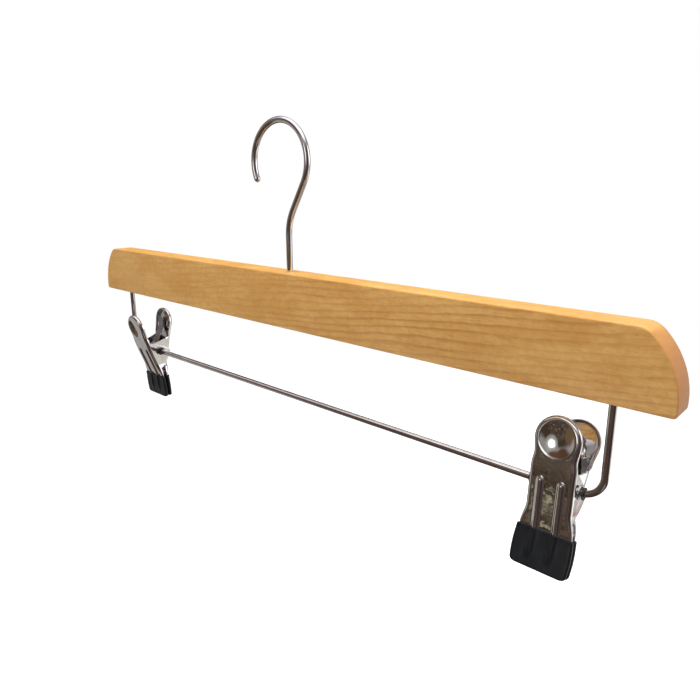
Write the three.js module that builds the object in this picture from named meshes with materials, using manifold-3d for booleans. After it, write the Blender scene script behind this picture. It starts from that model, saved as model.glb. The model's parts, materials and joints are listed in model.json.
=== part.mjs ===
// Wooden trouser hanger: a swivelling wire hook, a flat wooden bar, a bent trouser wire and two spring clips.
// Millimetres, +Z up, +X along the bar, -Y to the front. The origin is the point inside the hook where the rail
// carries the hanger, straight above the swivel axis.
import * as THREE from "three";
import { mergeVertices } from "three/addons/utils/BufferGeometryUtils.js";
import Module from "manifold-3d";

const wasm = await Module();
wasm.setup();

// Fit between pieces that touch.
const GAP = 0.3;

// Wooden bar.
const BAR_LENGTH = 380;
const BAR_HEIGHT = 29;
const BAR_THICKNESS = 13;
const BAR_EDGE_ROUND = 1.0;
const END_ARC_RADIUS = 33;
const END_TOP_ROUND = 3;
const END_FOOT_ROUND = 1.4;
const END_BULGE_HEIGHT = 3;

// Hook, a round wire bent in the plane of the bar.
const HOOK_WIRE = 3.2;
const LOOP_RADIUS = 20;
const LOOP_OFFSET = -5.5;
const LOOP_HEIGHT = 54.9;
const LOOP_TIP_ANGLE = 205;
const NECK_LEAN = 31;
const NECK_RADIUS = 24;
const RIVET_HEAD = 6.6;
const RIVET_HEAD_HEIGHT = 1.6;
const WASHER_OUTER = 8.4;
const WASHER_THICKNESS = 1;
const COUNTERBORE = 10;
const COUNTERBORE_DEPTH = 8;

// Trouser wire, a wide U whose ends are pressed into the underside of the bar.
const BAR_WIRE = 3.0;
const WIRE_HALF_SPAN = 168;
const WIRE_DROP = 68;
const WIRE_BEND = 9;
const WIRE_SOCKET = 15;

// Clips: where each one stands on the wire, and how far its handles are tipped back from upright.
const LEFT_CLIP = { prefix: "left_", x: -145.2, tilt: 4.8 };
const RIGHT_CLIP = { prefix: "right_", x: 150.6, tilt: -20 };

// Clip jaw, pressed from sheet. Heights are above the pivot, and half widths are across the clip.
const SHEET = 0.7;
const FOLD_RADIUS = 1.7;
const FOOT_FOLD_RADIUS = 0.8;
const FOLD_GROWTH = [-18, -12];
const JAW_FOOT = -32;
const PAD_HEIGHT = 17.5;
const PAD_RADIUS = 9.1;
const TIP_HALF_WIDTH = 10.6;
const TIP_SHOULDER = [-18, -9];
const EAR_HALF_WIDTH = 9.0;
const EAR_SHOULDER = 6.5;
const NECK_PINCH = 0.6;
const NECK_HEIGHT = 10.8;
const FLANGE_DEPTH = 2.2;
const FOOT_FLANGE_DEPTH = 1.0;
const FLANGE_GROWTH = [-18, -12];
const REAR_INSET = 1.05;
const REAR_INSET_LOW = [-13, -11];
const REAR_INSET_HIGH = [8, 10];
const EAR_HOLE = 4.9;
const RIB_PLACE = 0.55;
const RIB_HALF_SHARE = 0.22;
const RIB_RISE = 0.8;
const RIB_TOP = 2.5;
const RIB_RUN_OUT = 2;
const DISH_RADIUS = 7.2;
const DISH_DEPTH = 1.6;

// Side profile of a jaw's outer face: how far its foot stands from the pivot, and the bends above it. The rear
// jaw leans out more, above its ears.
const FOOT_REACH = 2.0;
const FRONT_BENDS = [
  { height: -18.5, slope: 0.286, length: 0.8 },
  { height: 3, slope: -0.076, length: 1.5 },
  { height: 18.7, slope: -0.14, length: 1.5 },
];
const REAR_BENDS = [
  { height: -18.5, slope: 0.32, length: 0.8 },
  { height: 3, slope: -0.11, length: 1.5 },
  { height: 8, slope: 0.1, length: 1.5 },
  { height: 18.7, slope: -0.24, length: 1.5 },
];

// Soft pieces of a clip.
const TIP_TOP = -18.2;
const TIP_FOOT = -33;
const TIP_WALL = 0.5;
const TIP_ROUND = 0.6;
const TIP_POCKET_ROUND = 0.3;
const SLEEVE_INNER = 3.8;
const SLEEVE_OUTER = 4.3;
const SLEEVE_LENGTH = 19.4;
const SLEEVE_COLLAR = 5.4;
const SLEEVE_COLLAR_WIDTH = 0.4;

// Leaf spring: side profiles of its legs, from their tops to the bend, as [distance, height].
const SPRING_WIDTH = 7;
const SPRING_SHEET = 0.6;
const SPRING_BEND = 3.2;
const SPRING_BEND_HEIGHT = 6;
const SPRING_FRONT_LEG = [
  [8.0, 20.5],
  [8.0, 16],
  [7.0, 12],
];
const SPRING_REAR_LEG = [
  [9.4, 20.5],
  [9.0, 16],
  [7.6, 12],
];

const radians = THREE.MathUtils.degToRad;
const loopInner = LOOP_RADIUS - HOOK_WIRE / 2;
const seatHeight = LOOP_HEIGHT + Math.sqrt(loopInner ** 2 - LOOP_OFFSET ** 2);
const barTop = -seatHeight;
const barFoot = barTop - BAR_HEIGHT;
const wireHeight = barTop - WIRE_DROP;

const finishes = {
  wood: { color: 0xc2935a, roughness: 0.45, metalness: 0 },
  chrome: { color: 0xc9c7c4, roughness: 0.12, metalness: 1 },
  steel: { color: 0x9a9a98, roughness: 0.35, metalness: 1 },
  rubber: { color: 0x16181b, roughness: 0.5, metalness: 0 },
};

function meshOf(name, geometry, finish) {
  const mesh = new THREE.Mesh(geometry, new THREE.MeshStandardMaterial(finishes[finish]));
  mesh.name = name;
  return mesh;
}

// A closed geometry as a solid, and back again.
function solidOf(geometry) {
  const bare = geometry.index ? geometry.toNonIndexed() : geometry.clone();
  bare.deleteAttribute("normal");
  bare.deleteAttribute("uv");
  const merged = mergeVertices(bare, 1e-3);
  const vertProperties = new Float32Array(merged.attributes.position.array);
  const triVerts = new Uint32Array(merged.index.array);
  return new wasm.Manifold(new wasm.Mesh({ numProp: 3, vertProperties, triVerts }));
}

function geometryOf(solid) {
  const mesh = solid.getMesh();
  const geometry = new THREE.BufferGeometry();
  geometry.setAttribute("position", new THREE.BufferAttribute(mesh.vertProperties, 3));
  geometry.setIndex(new THREE.BufferAttribute(mesh.triVerts, 1));
  return geometry;
}

function meshGeometry(vertices, triangles) {
  const geometry = new THREE.BufferGeometry().setFromPoints(vertices);
  geometry.setIndex(triangles.flat());
  return geometry;
}

// A cylinder along Z between two heights, at x on the bar's centre plane.
function uprightCylinder(x, diameter, low, high) {
  const geometry = new THREE.CylinderGeometry(diameter / 2, diameter / 2, high - low, 20);
  geometry.rotateX(Math.PI / 2);
  geometry.translate(x, 0, (low + high) / 2);
  return solidOf(geometry);
}

// A ring or tube turned about the Y axis, from the bottom of its bore, round the outside, to the top of its bore.
function tubeGeometry(inner, length, outside, sides) {
  const profile = [[inner, -length / 2], ...outside, [inner, length / 2], [inner, -length / 2]];
  return new THREE.LatheGeometry(
    profile.map(([diameter, y]) => new THREE.Vector2(diameter / 2, y)),
    sides,
  );
}

// A round wire along points that lie in the XZ plane.
function wireGeometry(points, diameter, steps) {
  const path = new THREE.CatmullRomCurve3(points, false, "centripetal");
  const section = new THREE.Shape().absarc(0, 0, diameter / 2, 0, 2 * Math.PI, false);
  return new THREE.ExtrudeGeometry(section, { extrudePath: path, steps, curveSegments: 5 });
}

// Points of an arc in the XZ plane, from one angle to another, in degrees.
function arcPoints(x, z, radius, from, to, count) {
  const points = [];
  for (let i = 0; i <= count; i++) {
    const angle = radians(from + ((to - from) * i) / count);
    points.push(new THREE.Vector3(x + radius * Math.cos(angle), 0, z + radius * Math.sin(angle)));
  }
  return points;
}

function linePoints(from, to, count) {
  const points = [];
  for (let i = 1; i < count; i++) points.push(from.clone().lerp(to, i / count));
  return points;
}

// Wooden bar: a board with arched ends, bored for the hook's shank and the ends of the wire.
function woodenBar() {
  const arcX = BAR_LENGTH / 2 - END_ARC_RADIUS;
  const arcZ = END_BULGE_HEIGHT - BAR_HEIGHT;
  const topX = arcX + Math.sqrt(END_ARC_RADIUS ** 2 - arcZ ** 2);
  const footX = arcX + Math.sqrt(END_ARC_RADIUS ** 2 - END_BULGE_HEIGHT ** 2);
  const topAngle = Math.asin(-arcZ / END_ARC_RADIUS) - END_TOP_ROUND / END_ARC_RADIUS;
  const footAngle = -Math.asin((END_BULGE_HEIGHT - END_FOOT_ROUND) / END_ARC_RADIUS);
  const leftX = -arcX - END_ARC_RADIUS * Math.cos(topAngle);
  const outline = new THREE.Shape();
  outline.moveTo(END_FOOT_ROUND - footX, -BAR_HEIGHT);
  outline.lineTo(footX - END_FOOT_ROUND, -BAR_HEIGHT);
  const footEndX = arcX + END_ARC_RADIUS * Math.cos(footAngle);
  outline.quadraticCurveTo(footX, -BAR_HEIGHT, footEndX, END_FOOT_ROUND - BAR_HEIGHT);
  outline.absarc(arcX, arcZ, END_ARC_RADIUS, footAngle, topAngle, false);
  outline.quadraticCurveTo(topX, 0, topX - END_TOP_ROUND, 0);
  outline.lineTo(END_TOP_ROUND - topX, 0);
  outline.quadraticCurveTo(-topX, 0, leftX, arcZ + END_ARC_RADIUS * Math.sin(topAngle));
  outline.absarc(-arcX, arcZ, END_ARC_RADIUS, Math.PI - topAngle, Math.PI - footAngle, false);
  outline.quadraticCurveTo(-footX, -BAR_HEIGHT, END_FOOT_ROUND - footX, -BAR_HEIGHT);
  const board = new THREE.ExtrudeGeometry(outline, {
    depth: BAR_THICKNESS - 2 * BAR_EDGE_ROUND,
    bevelThickness: BAR_EDGE_ROUND,
    bevelSize: BAR_EDGE_ROUND,
    bevelOffset: -BAR_EDGE_ROUND,
    bevelSegments: 2,
    curveSegments: 8,
  });
  board.rotateX(Math.PI / 2);
  board.translate(0, BAR_THICKNESS / 2 - BAR_EDGE_ROUND, barTop);
  let solid = solidOf(board);
  const past = 1;
  const shankBore = HOOK_WIRE + 2 * GAP;
  solid = solid.subtract(uprightCylinder(0, shankBore, barFoot - past, barTop + past));
  solid = solid.subtract(uprightCylinder(0, COUNTERBORE, barFoot - past, barFoot + COUNTERBORE_DEPTH));
  for (const side of [-1, 1]) {
    const socket = uprightCylinder(
      side * WIRE_HALF_SPAN,
      BAR_WIRE + 2 * GAP,
      barFoot - past,
      barFoot + WIRE_SOCKET,
    );
    solid = solid.subtract(socket);
  }
  return meshOf("wooden_bar", geometryOf(solid), "wood");
}

// Heights of the washer and of the rivet head that hold the shank in the counterbore.
const washerTop = barFoot + COUNTERBORE_DEPTH - GAP;
const headTop = washerTop - WASHER_THICKNESS - GAP;

// Hook: tip, loop, leaning neck and straight shank in one wire, with its end riveted over.
function hook() {
  const loopZ = barTop + LOOP_HEIGHT;
  const lean = radians(NECK_LEAN);
  const loop = arcPoints(LOOP_OFFSET, loopZ, LOOP_RADIUS, LOOP_TIP_ANGLE, -NECK_LEAN, 30);
  const loopEnd = loop[loop.length - 1];
  const bendX = NECK_RADIUS * (1 - Math.cos(lean));
  const slope = (loopEnd.x - bendX) / Math.sin(lean);
  const neckZ = loopEnd.z - slope * Math.cos(lean) - NECK_RADIUS * Math.sin(lean);
  const neck = arcPoints(NECK_RADIUS, neckZ, NECK_RADIUS, 180 - NECK_LEAN, 180, 6);
  const shankEnd = new THREE.Vector3(0, 0, headTop - RIVET_HEAD_HEIGHT / 2);
  const points = [
    ...loop,
    ...linePoints(loopEnd, neck[0], 4),
    ...neck,
    ...linePoints(neck[6], shankEnd, 8),
    shankEnd,
  ];
  const tipCap = new THREE.SphereGeometry(HOOK_WIRE / 2, 10, 8);
  tipCap.translate(loop[0].x, 0, loop[0].z);
  const head = uprightCylinder(0, RIVET_HEAD, headTop - RIVET_HEAD_HEIGHT, headTop);
  const wire = solidOf(wireGeometry(points, HOOK_WIRE, 60));
  return meshOf("hook", geometryOf(wire.add(solidOf(tipCap)).add(head)), "chrome");
}

function hookWasher() {
  const half = WASHER_THICKNESS / 2;
  const rim = [[WASHER_OUTER, -half], [WASHER_OUTER, half]];
  const geometry = tubeGeometry(HOOK_WIRE + 2 * GAP, WASHER_THICKNESS, rim, 24);
  geometry.rotateX(Math.PI / 2);
  const washer = meshOf("hook_washer", geometry, "steel");
  washer.position.z = washerTop - WASHER_THICKNESS / 2;
  return washer;
}

// Trouser wire: down from one socket, along under the bar and up into the other.
function trouserBar() {
  const top = barFoot + WIRE_SOCKET - GAP;
  const inner = WIRE_HALF_SPAN - WIRE_BEND;
  const bendZ = wireHeight + WIRE_BEND;
  const leftBend = arcPoints(-inner, bendZ, WIRE_BEND, 180, 270, 5);
  const rightBend = arcPoints(inner, bendZ, WIRE_BEND, 270, 360, 5);
  const leftTop = new THREE.Vector3(-WIRE_HALF_SPAN, 0, top);
  const rightTop = new THREE.Vector3(WIRE_HALF_SPAN, 0, top);
  const points = [
    leftTop,
    ...linePoints(leftTop, leftBend[0], 3),
    ...leftBend,
    ...linePoints(leftBend[5], rightBend[0], 12),
    ...rightBend,
    ...linePoints(rightBend[5], rightTop, 3),
    rightTop,
  ];
  return meshOf("trouser_bar", wireGeometry(points, BAR_WIRE, 80), "chrome");
}

// Goes from 0 to 1 as a value goes from one limit to the other, with level ends.
function blend(value, from, to) {
  const t = THREE.MathUtils.clamp((value - from) / (to - from), 0, 1);
  return t * t * (3 - 2 * t);
}

// How far a jaw's outer face stands from the pivot, at a height: level at the tip, then leaning out to the pad.
// Each bend adds its slope above its own height, rounded over its length.
function jawReach(height, bends) {
  let reach = FOOT_REACH;
  for (const bend of bends) {
    const above = Math.log1p(Math.exp((height - bend.height) / bend.length));
    reach += bend.slope * bend.length * above;
  }
  return reach;
}

// Radius of the fold along a jaw's sides and round its pad: small at the foot, where it has to go into the rubber.
function foldRadius(height) {
  return THREE.MathUtils.lerp(FOOT_FOLD_RADIUS, FOLD_RADIUS, blend(height, ...FOLD_GROWTH));
}

// Half width of a jaw's outline, at a height below the middle of the finger pad.
function jawHalfWidth(height, inset) {
  const flare = (TIP_HALF_WIDTH - EAR_HALF_WIDTH) * (1 - blend(height, ...TIP_SHOULDER));
  const toPad = (PAD_RADIUS - EAR_HALF_WIDTH) * blend(height, EAR_SHOULDER, PAD_HEIGHT);
  const intoNeck = blend(height, EAR_SHOULDER, NECK_HEIGHT);
  const pinch = NECK_PINCH * intoNeck * (1 - blend(height, NECK_HEIGHT, PAD_HEIGHT));
  const narrow = inset * blend(height, ...REAR_INSET_LOW) * (1 - blend(height, ...REAR_INSET_HIGH));
  return EAR_HALF_WIDTH + flare + toPad - pinch - narrow;
}

// Corners of the ears, as [height, distance behind the pivot line], seen from the jaw that carries them.
const FRONT_EAR = [
  [-12.6, -1.7],
  [-11, 1],
  [-8, 4],
  [-5, 6.2],
  [-1.5, 7.4],
  [0.8, 5.4],
  [3.5, 0.6],
  [7.4, -6.8],
];
const REAR_EAR = [
  [-8.6, -3],
  [-7, 0],
  [-5, 2.8],
  [-2.5, 4.4],
  [4, 4.4],
  [6, 3.6],
  [6.4, -4.5],
  [8.5, -8.0],
];

// How far back a jaw's edge is folded, at a height: a narrow flange, and the ear where there is one.
function foldEnd(height, ear, bends) {
  const flange = THREE.MathUtils.lerp(FOOT_FLANGE_DEPTH, FLANGE_DEPTH, blend(height, ...FLANGE_GROWTH));
  const plain = flange - jawReach(height, bends);
  if (height <= ear[0][0] || height >= ear[ear.length - 1][0]) return plain;
  let i = 1;
  while (ear[i][0] < height) i++;
  const share = (height - ear[i - 1][0]) / (ear[i][0] - ear[i - 1][0]);
  return Math.max(plain, THREE.MathUtils.lerp(ear[i - 1][1], ear[i][1], share));
}

// How far the face is pressed out (ribs) or in (finger dish), at a place across and up the jaw.
function jawRelief(place, x, height) {
  const offset = Math.min(1, Math.abs(Math.abs(place) - RIB_PLACE) / RIB_HALF_SHARE);
  const fromTip = blend(height, TIP_TOP, TIP_TOP + RIB_RUN_OUT);
  const length = fromTip * (1 - blend(height, RIB_TOP - RIB_RUN_OUT, RIB_TOP));
  const rib = (RIB_RISE * length * (1 + Math.cos(Math.PI * offset))) / 2;
  const radius = Math.hypot(x, height - PAD_HEIGHT) / DISH_RADIUS;
  const dish = radius < 1 ? DISH_DEPTH * (1 - radius ** 2) : 0;
  return rib - dish;
}

const ROW_HEIGHTS = [
  JAW_FOOT, -25, -21, TIP_TOP, -16.5, -15, -13, -11, -8, -5, -2.5, 0, 1, 2.5, 3.6, 5.6, 7, 8.5, 10.8, 13, 15.3, PAD_HEIGHT,
];
const PAD_ROWS = [0.33, 0.62, 0.85, 1];
const COLUMNS = [-1, -0.77, -RIB_PLACE, -0.3, 0, 0.3, RIB_PLACE, 0.77, 1];

// Gives sheet its thickness: a copy of the face, offset inwards, and a wall along each open edge.
function thicken(vertices, triangles, thickness) {
  const normals = vertices.map(() => new THREE.Vector3());
  const edges = new Map();
  for (const [a, b, c] of triangles) {
    const ab = vertices[b].clone().sub(vertices[a]);
    const ac = vertices[c].clone().sub(vertices[a]);
    const normal = ab.cross(ac);
    for (const corner of [a, b, c]) normals[corner].add(normal);
    for (const [from, to] of [[a, b], [b, c], [c, a]]) {
      if (!edges.delete(to + "," + from)) edges.set(from + "," + to, [from, to]);
    }
  }
  const count = vertices.length;
  const inner = vertices.map((v, i) => v.clone().addScaledVector(normals[i].normalize(), -thickness));
  const faces = triangles.map((t) => [...t]);
  for (const [a, b, c] of triangles) faces.push([a + count, c + count, b + count]);
  for (const [from, to] of edges.values()) {
    faces.push([from, from + count, to]);
    faces.push([to, from + count, to + count]);
  }
  return solidOf(meshGeometry([...vertices, ...inner], faces));
}

// A front jaw: its face as a grid of rows, with a fold along both sides and round the pad.
function jawSolid(ear, inset, bends) {
  const vertices = [];
  const triangles = [];
  const grid = [];
  const faceVertex = (place, x, height) => {
    const y = -jawReach(height, bends) - jawRelief(place, x, height);
    vertices.push(new THREE.Vector3(x, y, height));
    return vertices.length - 1;
  };
  for (const height of ROW_HEIGHTS) {
    const half = jawHalfWidth(height, inset) - foldRadius(height);
    grid.push(COLUMNS.map((place) => faceVertex(place, place * half, height)));
  }
  const padFlat = PAD_RADIUS - FOLD_RADIUS;
  for (const row of PAD_ROWS) {
    const across = padFlat * Math.sqrt(1 - row ** 2 / 2);
    const rise = (place) => PAD_HEIGHT + padFlat * row * Math.sqrt(1 - place ** 2 / 2);
    grid.push(COLUMNS.map((place) => faceVertex(place, place * across, rise(place))));
  }
  const addQuad = (a, b, c, d) => triangles.push([a, b, c], [a, c, d]);
  for (let j = 1; j < grid.length; j++) {
    for (let i = 1; i < COLUMNS.length; i++) {
      addQuad(grid[j - 1][i - 1], grid[j - 1][i], grid[j][i], grid[j][i - 1]);
    }
  }
  // The edge runs up the right side, over the pad from right to left, and down the left side.
  const last = grid.length - 1;
  const rightSide = grid.map((row) => row[COLUMNS.length - 1]);
  const overPad = grid[last].slice(1, -1).reverse();
  const leftSide = grid.map((row) => row[0]).reverse();
  const edge = [...rightSide, ...overPad, ...leftSide];
  const folds = edge.map((index, k) => {
    const here = vertices[index];
    const before = vertices[edge[Math.max(0, k - 1)]];
    const after = vertices[edge[Math.min(edge.length - 1, k + 1)]];
    const along = after.clone().sub(before);
    along.y = 0;
    const out = new THREE.Vector3(along.z, 0, -along.x).normalize();
    if (k === 0 || k === edge.length - 1) out.set(Math.sign(here.x), 0, 0);
    const radius = foldRadius(here.z);
    const foldPoint = (angle) => {
      const point = here.clone().addScaledVector(out, radius * Math.sin(angle));
      point.y = -jawReach(point.z, bends) + radius * (1 - Math.cos(angle));
      return point;
    };
    const end = foldPoint(Math.PI / 2);
    end.y = foldEnd(end.z, ear, bends);
    const first = vertices.length;
    vertices.push(foldPoint(Math.PI / 4), foldPoint(Math.PI / 2), end);
    return [index, first, first + 1, first + 2];
  });
  for (let k = 1; k < folds.length; k++) {
    for (let i = 1; i < 4; i++) {
      addQuad(folds[k - 1][i - 1], folds[k - 1][i], folds[k][i], folds[k][i - 1]);
    }
  }
  const hole = new THREE.CylinderGeometry(EAR_HOLE / 2, EAR_HOLE / 2, 4 * EAR_HALF_WIDTH, 16);
  hole.rotateZ(Math.PI / 2);
  return thicken(vertices, triangles, SHEET).subtract(solidOf(hole));
}

// Joins rings of equal count into one closed solid, capped at the first and the last ring.
function loft(rings) {
  const count = rings[0].length;
  const vertices = rings.flat();
  const triangles = [];
  for (let r = 1; r < rings.length; r++) {
    for (let i = 0; i < count; i++) {
      const next = (i + 1) % count;
      const low = (r - 1) * count;
      const high = r * count;
      triangles.push([low + i, low + next, high + next], [low + i, high + next, high + i]);
    }
  }
  const top = (rings.length - 1) * count;
  for (let i = 1; i < count - 1; i++) {
    triangles.push([0, i + 1, i], [top, top + i, top + i + 1]);
  }
  return meshGeometry(vertices, triangles);
}

// A level rounded rectangle, anticlockwise from above.
function roundedRing(halfWidth, front, back, round, height) {
  const ring = [];
  const corners = [
    [halfWidth - round, back - round, 0],
    [round - halfWidth, back - round, 90],
    [round - halfWidth, front + round, 180],
    [halfWidth - round, front + round, 270],
  ];
  for (const [x, y, from] of corners) {
    for (const turn of [0, 45, 90]) {
      const angle = radians(from + turn);
      ring.push(new THREE.Vector3(x + round * Math.cos(angle), y + round * Math.sin(angle), height));
    }
  }
  return ring;
}

// Rubber tip of a front jaw: a cup, open at the top, that follows the jaw's lean.
function tipGeometry(bends) {
  const outerRing = (height, shrink) => {
    const front = -jawReach(height, bends) - GAP - TIP_WALL + shrink;
    const back = FOOT_FLANGE_DEPTH + GAP + TIP_WALL - jawReach(height, bends) - shrink;
    const half = jawHalfWidth(height, 0) + GAP + TIP_WALL - shrink;
    return roundedRing(half, front, Math.min(back, -GAP / 2), TIP_ROUND, height);
  };
  const pocketRing = (height) => {
    const front = -jawReach(height, bends) - GAP;
    const back = FOOT_FLANGE_DEPTH + GAP - jawReach(height, bends);
    const half = jawHalfWidth(height, 0) + GAP;
    return roundedRing(half, front, Math.min(back, -GAP), TIP_POCKET_ROUND, height);
  };
  const heights = [-28, -23, -20, TIP_TOP - GAP];
  return loft([
    outerRing(TIP_FOOT - TIP_ROUND, TIP_WALL),
    outerRing(TIP_FOOT, 0),
    ...heights.map((height) => outerRing(height, 0)),
    ...heights.reverse().map((height) => pocketRing(height)),
    pocketRing(JAW_FOOT - GAP),
  ]);
}

// Leaf spring: a strip bent round over the sleeve, with a leg up each handle.
function springGeometry() {
  const bend = [];
  for (let angle = 200; angle <= 340; angle += 20) {
    const y = SPRING_BEND * Math.cos(radians(angle));
    bend.push([y, SPRING_BEND_HEIGHT + SPRING_BEND * Math.sin(radians(angle))]);
  }
  const frontLeg = SPRING_FRONT_LEG.map(([distance, height]) => [-distance, height]);
  const path = [...frontLeg, ...bend, ...SPRING_REAR_LEG.toReversed()];
  const vertices = [];
  const triangles = [];
  path.forEach(([y, z], i) => {
    vertices.push(new THREE.Vector3(-SPRING_WIDTH / 2, y, z), new THREE.Vector3(SPRING_WIDTH / 2, y, z));
    if (i > 0) triangles.push([2 * i - 2, 2 * i + 1, 2 * i - 1], [2 * i - 2, 2 * i, 2 * i + 1]);
  });
  return geometryOf(thicken(vertices, triangles, SPRING_SHEET));
}

// Grip sleeve: a tube on the wire with a collar outside each ear.
function sleeveGeometry() {
  const end = SLEEVE_LENGTH / 2;
  const collar = end - SLEEVE_COLLAR_WIDTH;
  const half = [[SLEEVE_OUTER, collar], [SLEEVE_COLLAR, collar], [SLEEVE_COLLAR, end]];
  const low = half.map(([diameter, y]) => [diameter, -y]).reverse();
  return tubeGeometry(SLEEVE_INNER, SLEEVE_LENGTH, [...low, ...half], 16);
}

// One clip on the wire. The rear jaw is narrower at its ears, which turn inside those of the front jaw.
function clip({ prefix, x, tilt }) {
  const group = new THREE.Group();
  group.position.set(x, 0, wireHeight);
  group.rotation.x = radians(tilt);
  const frontShape = geometryOf(jawSolid(FRONT_EAR, 0, FRONT_BENDS));
  const rearShape = geometryOf(jawSolid(REAR_EAR, REAR_INSET, REAR_BENDS));
  const frontJaw = meshOf(prefix + "front_jaw", frontShape, "chrome");
  const rearJaw = meshOf(prefix + "rear_jaw", rearShape, "chrome");
  const frontTip = meshOf(prefix + "front_tip", tipGeometry(FRONT_BENDS), "rubber");
  const rearTip = meshOf(prefix + "rear_tip", tipGeometry(REAR_BENDS), "rubber");
  rearJaw.rotation.z = Math.PI;
  rearTip.rotation.z = Math.PI;
  const spring = meshOf(prefix + "spring", springGeometry(), "steel");
  const sleeve = meshOf(prefix + "grip_sleeve", sleeveGeometry(), "rubber");
  sleeve.rotation.z = Math.PI / 2;
  group.add(frontJaw, rearJaw, frontTip, rearTip, spring, sleeve);
  return group;
}

const hanger = new THREE.Group();
hanger.add(hook(), hookWasher(), woodenBar(), trouserBar(), clip(LEFT_CLIP), clip(RIGHT_CLIP));

export default hanger;
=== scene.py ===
# Fine surfaces, materials, floor, light and camera for the wooden trouser hanger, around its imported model.
# Sizes are in millimetres, as in the model's source, and meshes are made in metres.
import json
import math

import bpy
import numpy as np
from mathutils import Matrix, Vector


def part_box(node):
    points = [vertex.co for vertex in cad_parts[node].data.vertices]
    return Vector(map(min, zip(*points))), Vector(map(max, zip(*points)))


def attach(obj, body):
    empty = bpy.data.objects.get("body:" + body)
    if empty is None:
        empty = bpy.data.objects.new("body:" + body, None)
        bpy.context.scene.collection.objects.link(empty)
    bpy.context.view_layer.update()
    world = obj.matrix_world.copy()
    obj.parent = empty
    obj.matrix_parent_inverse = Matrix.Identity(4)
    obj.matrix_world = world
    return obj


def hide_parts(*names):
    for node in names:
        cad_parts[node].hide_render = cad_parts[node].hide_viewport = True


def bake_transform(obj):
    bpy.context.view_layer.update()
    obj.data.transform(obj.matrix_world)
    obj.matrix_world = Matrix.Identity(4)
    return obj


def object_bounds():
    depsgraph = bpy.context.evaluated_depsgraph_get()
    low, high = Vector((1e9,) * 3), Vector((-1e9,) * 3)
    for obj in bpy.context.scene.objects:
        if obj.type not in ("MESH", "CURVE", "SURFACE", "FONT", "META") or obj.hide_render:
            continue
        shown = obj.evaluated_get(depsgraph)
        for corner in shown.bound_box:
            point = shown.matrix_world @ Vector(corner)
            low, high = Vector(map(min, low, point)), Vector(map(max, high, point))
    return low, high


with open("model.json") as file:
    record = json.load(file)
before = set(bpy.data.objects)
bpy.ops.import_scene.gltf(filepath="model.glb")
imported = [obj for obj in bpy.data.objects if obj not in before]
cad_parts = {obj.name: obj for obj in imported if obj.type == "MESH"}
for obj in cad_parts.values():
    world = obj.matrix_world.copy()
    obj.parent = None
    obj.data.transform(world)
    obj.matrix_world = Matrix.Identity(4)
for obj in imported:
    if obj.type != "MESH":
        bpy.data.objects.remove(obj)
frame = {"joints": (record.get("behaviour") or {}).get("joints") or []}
cad_low, cad_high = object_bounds()
scene = bpy.context.scene

MM = 0.001
TINY = 1e-12

# Wooden bar. Each end is one arc, widest a little above the foot, with a rounded corner at its top and foot.
BAR_EDGE_ROUND = 0.8
END_ARC_RADIUS = 33
END_TOP_ROUND = 3
END_FOOT_ROUND = 1.4
END_BULGE_HEIGHT = 3

# Hook, washer and lower wire. The loop's middle is given from the shank's line and from the bar's top.
HOOK_WIRE = 3.2
WIRE_END_ANGLES = (20, 40, 60, 78)
LOOP_RADIUS = 20
LOOP_OFFSET = -5.5
LOOP_HEIGHT = 54.9
LOOP_TIP_ANGLE = 205
NECK_LEAN = 31
NECK_RADIUS = 24
RIVET_HEAD = 6.6
RIVET_HEAD_HEIGHT = 1.6
RIVET_HEAD_RIM = 0.5
RIVET_HEAD_EDGE = 0.15
WASHER_EDGE = 0.2
HOOK_BORE = 3.8
COUNTERBORE = 10
COUNTERBORE_DEPTH = 8
BAR_WIRE = 3.0
WIRE_BEND = 9
WIRE_BORE = 3.6
WIRE_SOCKET = 15
CUTTER_PAST = 2

# Clips: how far the handles of each lean to the front, in degrees.
CLIP_TILT = {"left": 4.8, "right": -20}

# Clip jaw. Heights are above the pivot, half widths across the clip, and reaches out from its middle.
SHEET = 0.7
FOLD_RADIUS = 1.7
FOOT_FOLD_RADIUS = 0.8
FOLD_GROWTH = (-18, -12)
JAW_FOOT = -32
PAD_HEIGHT = 17.5
PAD_RADIUS = 9.1
TIP_HALF_WIDTH = 10.6
TIP_SHOULDER = (-18, -9)
EAR_HALF_WIDTH = 9.0
EAR_SHOULDER = 6.5
NECK_PINCH = 0.6
NECK_HEIGHT = 10.8
FLANGE_DEPTH = 2.2
FOOT_FLANGE_DEPTH = 1.0

# The rear jaw is narrower between these heights and its ears lean inwards, to pass inside the front jaw's.
REAR_INSET = 1.05
REAR_INSET_LOW = (-13, -11)
REAR_INSET_HIGH = (8, 10)
EAR_TAPER = 0.07

# The wire's hole in the ears, and the raised rim round it on the front jaw.
EAR_HOLE = 4.9
HOLE_RIM = 5.9
HOLE_RIM_REACH = 0.35
HOLE_RIM_EDGE = 0.15

# Two ribs below the pivot and a dish in the finger pad.
RIB_SPACING = 8.3
RIB_HALF_WIDTH = 1.75
RIB_RISE = 0.8
RIB_TOP = 2.5
RIB_FOOT = (-31, -26)
RIB_CREST = 0.12
DISH_RADIUS = 7.1
DISH_DEPTH = 1.6
DISH_LIP = 0.1

# Bends of a jaw's face: the height of each, how much the slope changes there, and how soft it is.
FOOT_REACH = 2.0
FRONT_BENDS = ((-18.5, 0.286, 0.8), (3, -0.076, 1.5), (18.7, -0.14, 1.5))
REAR_BENDS = ((-18.5, 0.32, 0.8), (3, -0.11, 1.5), (8, 0.1, 1.5), (18.7, -0.24, 1.5))

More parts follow.
